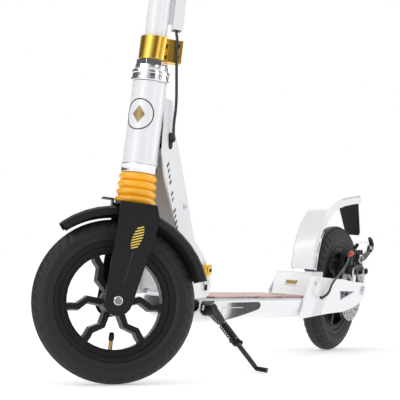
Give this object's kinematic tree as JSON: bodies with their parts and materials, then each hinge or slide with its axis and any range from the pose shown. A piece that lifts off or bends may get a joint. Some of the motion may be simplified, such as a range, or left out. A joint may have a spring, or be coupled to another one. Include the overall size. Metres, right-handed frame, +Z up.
{
  "type": "kick scooter",
  "caption": "Folding big-wheel kick scooter on its side stand, with a spring fork, a cable disc brake, mudguards and a height-adjustable handlebar.",
  "frame": {"origin": "middle of the whole object's bounding box, at ground level, standing on its side stand", "axes": "+X towards the handlebar end, +Y to the rider's left, +Z up; ground at z = 0; the scooter leans 4.1 degrees to its left and its front wheel is turned 54.3 degrees to the right"},
  "size_m": [1.3038, 0.3704, 1.0478],
  "materials": {
    "white_paint": "gloss",
    "black_paint": "satin",
    "black_plastic": "satin",
    "tyre_rubber": "matt",
    "soft_rubber": "matt",
    "amber_rubber": "satin",
    "gold_anodised": "gloss",
    "chrome": "polished",
    "bright_steel": "brushed",
    "rotor_steel": "brushed",
    "brass": "polished",
    "wood_grip": "matt, printed with a plank pattern",
    "red_plastic": "satin",
    "black_alloy": "satin paint on alloy",
    "white_alloy": "gloss paint on alloy",
    "handlebar_alloy": "polished"
  },
  "bodies": {
    "deck": {"deck_shell": "white_alloy", "deck_grip": "wood_grip", "deck_knuckle": "bright_steel", "rear_box": "white_paint", "rear_plate_left": "white_alloy", "rear_plate_right": "white_alloy", "rear_axle": "bright_steel", "rear_fender": "white_paint", "mudflap": "soft_rubber", "caliper_body": "black_alloy", "caliper_screw_front": "black_paint", "caliper_screw_rear": "black_paint", "brake_pad_inner": "black_plastic", "brake_pad_outer": "black_plastic", "adjuster_barrel": "red_plastic", "kickstand_bracket": "black_paint", "brake_cable_deck": "black_plastic"},
    "rear_wheel": {"rear_rim": "black_plastic", "rear_tyre": "tyre_rubber", "rear_inner_tube": "soft_rubber", "rear_bearing_left": "bright_steel", "rear_bearing_right": "bright_steel", "brake_rotor": "rotor_steel"},
    "caliper_arm": {"caliper_arm": "black_alloy"},
    "kickstand": {"kickstand_leg": "black_paint", "kickstand_spring": "black_paint"},
    "front_frame": {"front_frame": "white_alloy", "fold_pivot_bolt": "bright_steel", "upper_headset_cup": "chrome", "lower_headset_cup": "chrome", "cable_grommet": "soft_rubber", "brake_cable_frame": "black_plastic"},
    "fold_lever": {"fold_lever": "gold_anodised"},
    "steering": {"stem_tube": "white_alloy", "headset_bearing_upper": "bright_steel", "headset_bearing_lower": "bright_steel", "slider_bush": "soft_rubber", "headset_locknut": "chrome", "stem_clamp": "gold_anodised", "cable_duct": "white_paint", "height_collar": "black_alloy", "bellows": "amber_rubber", "suspension_spring": "bright_steel", "brake_cable_steer": "black_plastic"},
    "fork": {"fork": "black_paint", "front_axle": "bright_steel", "front_fender": "black_plastic"},
    "front_wheel": {"front_rim": "black_plastic", "front_tyre": "tyre_rubber", "front_inner_tube": "soft_rubber", "front_valve": "brass", "front_bearing_left": "bright_steel", "front_bearing_right": "bright_steel"},
    "handlebar": {"handlebar": "handlebar_alloy", "grip_left": "soft_rubber", "grip_right": "soft_rubber", "lever_bracket": "black_plastic", "brake_cable_bar": "black_plastic"},
    "brake_lever": {"brake_lever": "black_alloy"},
    "height_lever": {"height_lever": "black_plastic"}
  },
  "joints": [
    {"name": "fold", "type": "hinge", "parent": "deck", "child": "front_frame", "pos_m": [0.32213, -0.04846, 0.1811], "axis": [0, -0.9974, 0.0715], "range_deg": [0, 75]},
    {"name": "fold_lock", "type": "hinge", "parent": "front_frame", "child": "fold_lever", "pos_m": [0.32413, 0.01289, 0.19775], "axis": [0, 0.9974, -0.0715], "range_deg": [0, 60]},
    {"name": "steer", "type": "hinge", "parent": "front_frame", "child": "steering", "pos_m": [0.49613, -0.02994, 0.43953], "axis": [-0.1253, 0.0709, 0.9896], "range_deg": [-3, 111.6], "deforming": ["brake_cable_steer"]},
    {"name": "front_suspension", "type": "slide", "parent": "steering", "child": "fork", "axis": [-0.1253, 0.0709, 0.9896], "range_m": [0, 0.012], "stiffness_N_per_m": 25000, "springref_m": -0.004, "deforming": ["bellows", "suspension_spring"]},
    {"name": "front_wheel_spin", "type": "hinge", "parent": "fork", "child": "front_wheel", "pos_m": [0.54311, -0.06426, 0.14478], "axis": [0.8057, 0.5893, 0.0598], "continuous": true},
    {"name": "bar_height", "type": "slide", "parent": "steering", "child": "handlebar", "axis": [-0.1253, 0.0709, 0.9896], "range_m": [-0.115, 0.04], "deforming": ["brake_cable_bar"]},
    {"name": "brake_pull", "type": "hinge", "parent": "handlebar", "child": "brake_lever", "pos_m": [0.34574, -0.08248, 1.01036], "axis": [0.1253, -0.0709, -0.9896], "range_deg": [0, 10], "stiffness_Nm_per_rad": 3, "springref_deg": -8.59},
    {"name": "height_clamp", "type": "hinge", "parent": "steering", "child": "height_lever", "pos_m": [0.44392, 0.03092, 0.78073], "axis": [-0.1253, 0.0709, 0.9896], "range_deg": [0, 90]},
    {"name": "rear_wheel_spin", "type": "hinge", "parent": "deck", "child": "rear_wheel", "pos_m": [-0.50687, -0.05107, 0.14469], "axis": [0, 0.9974, -0.0715], "continuous": true},
    {"name": "kickstand_swing", "type": "hinge", "parent": "deck", "child": "kickstand", "pos_m": [0.31613, 0.02109, 0.12348], "axis": [0.0876, 0.9683, 0.2337], "range_deg": [0, 42]},
    {"name": "caliper_pull", "type": "hinge", "parent": "deck", "child": "caliper_arm", "pos_m": [-0.49487, 0.02297, 0.21257], "axis": [0, 0.9974, -0.0715], "range_deg": [0, 15]}
  ],
  "couplings": [
    {"joint": "caliper_pull", "follows": "brake_pull", "ratio": 1.5}
  ]
}
